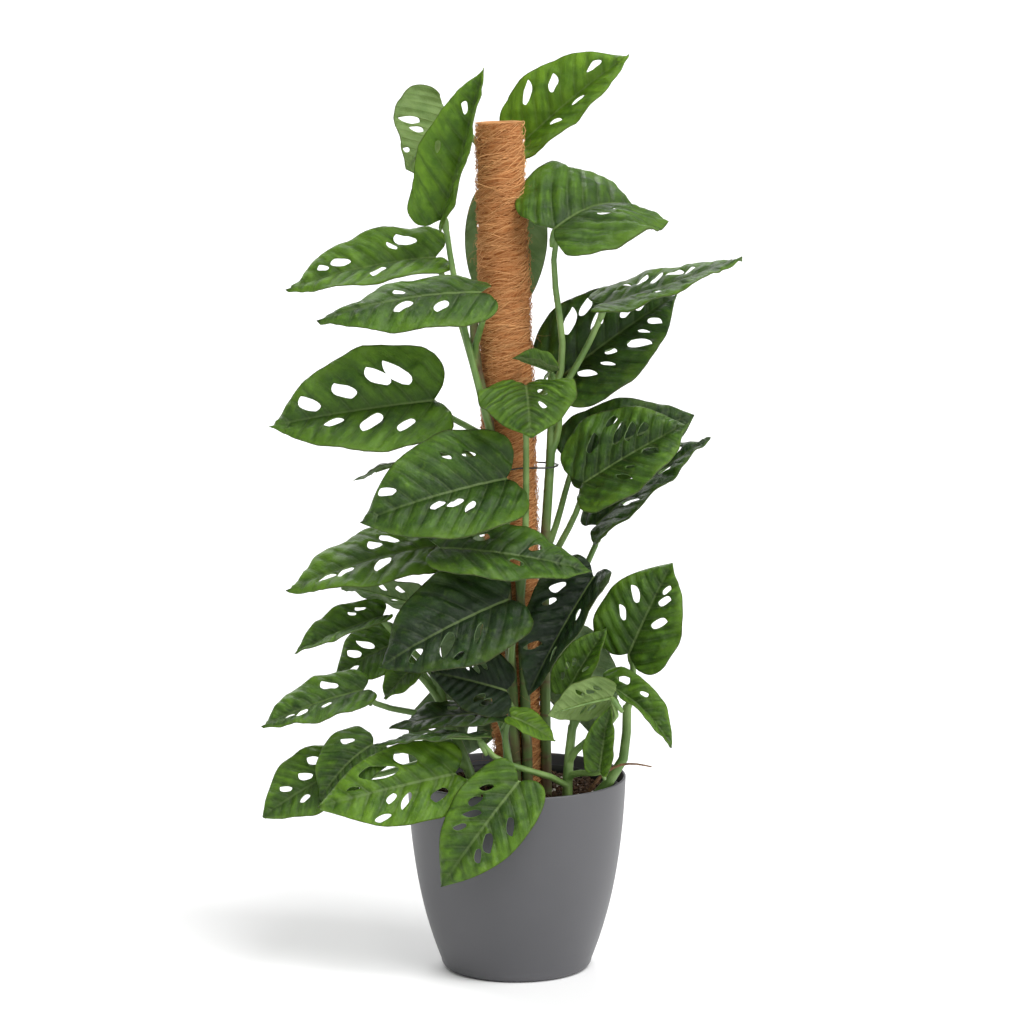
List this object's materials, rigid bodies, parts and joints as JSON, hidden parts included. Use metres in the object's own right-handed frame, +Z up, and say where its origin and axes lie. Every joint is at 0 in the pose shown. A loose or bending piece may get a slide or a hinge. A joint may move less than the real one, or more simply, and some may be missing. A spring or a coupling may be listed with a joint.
{
  "type": "potted monstera plant",
  "caption": "Holed-leaf monstera climbing a coir pole in a round grey plastic pot, with low leaves that lean over the rim.",
  "frame": {"origin": "middle of the underside of the pot, on the floor", "axes": "+Z up along the pot, -Y towards the viewer of the front, +X to the right seen from the front"},
  "size_m": [0.5148, 0.3053, 1.0002],
  "materials": {
    "pot": "satin grey moulded plastic",
    "nursery": "thin dark nursery pot",
    "soil": "loose dark potting mix",
    "core": "plain rod",
    "coir": "wound coconut fibre",
    "tie": "plastic coated wire",
    "vine": "green living stem, slight sheen",
    "root": "dry brown root",
    "leaf": "living leaf, satin, thin enough to let light through"
  },
  "bodies": {
    "root": {"aerial_root": "root", "back_bottom": "leaf", "back_centre": "leaf", "back_high": "leaf", "back_left_mid": "leaf", "back_low": "leaf", "back_low_right": "leaf", "back_right_mid": "leaf", "centre_band": "leaf", "centre_big": "leaf", "centre_dark": "leaf", "centre_left": "leaf", "centre_under": "leaf", "coir_wrap": "coir", "crown_back": "leaf", "crown_front": "leaf", "crown_right": "leaf", "curl_small": "leaf", "front_small": "leaf", "left_bottom_a": "leaf", "left_bottom_b": "leaf", "left_bottom_c": "leaf", "left_bottom_d": "leaf", "left_fore": "leaf", "left_high": "leaf", "left_low_a": "leaf", "left_low_b": "leaf", "left_low_c": "leaf", "left_low_d": "leaf", "left_mid": "leaf", "left_peek": "leaf", "low_left_e": "leaf", "low_left_f": "leaf", "mid_left_small": "leaf", "nursery_pot": "nursery", "pole_core": "core", "pot": "pot", "pot_drape": "leaf", "right_bottom": "leaf", "right_droop": "leaf", "right_fold": "leaf", "right_high": "leaf", "right_inner": "leaf", "right_long": "leaf", "right_low_back": "leaf", "right_low_fore": "leaf", "right_low_under": "leaf", "right_mid": "leaf", "right_pale": "leaf", "right_pale_small": "leaf", "soil": "soil", "tie": "tie", "vine_back": "vine", "vine_front": "vine", "vine_left": "vine", "vine_low_front": "vine", "vine_low_left": "vine", "vine_low_right": "vine", "vine_low_rim": "vine", "vine_right": "vine"}
  },
  "joints": []
}
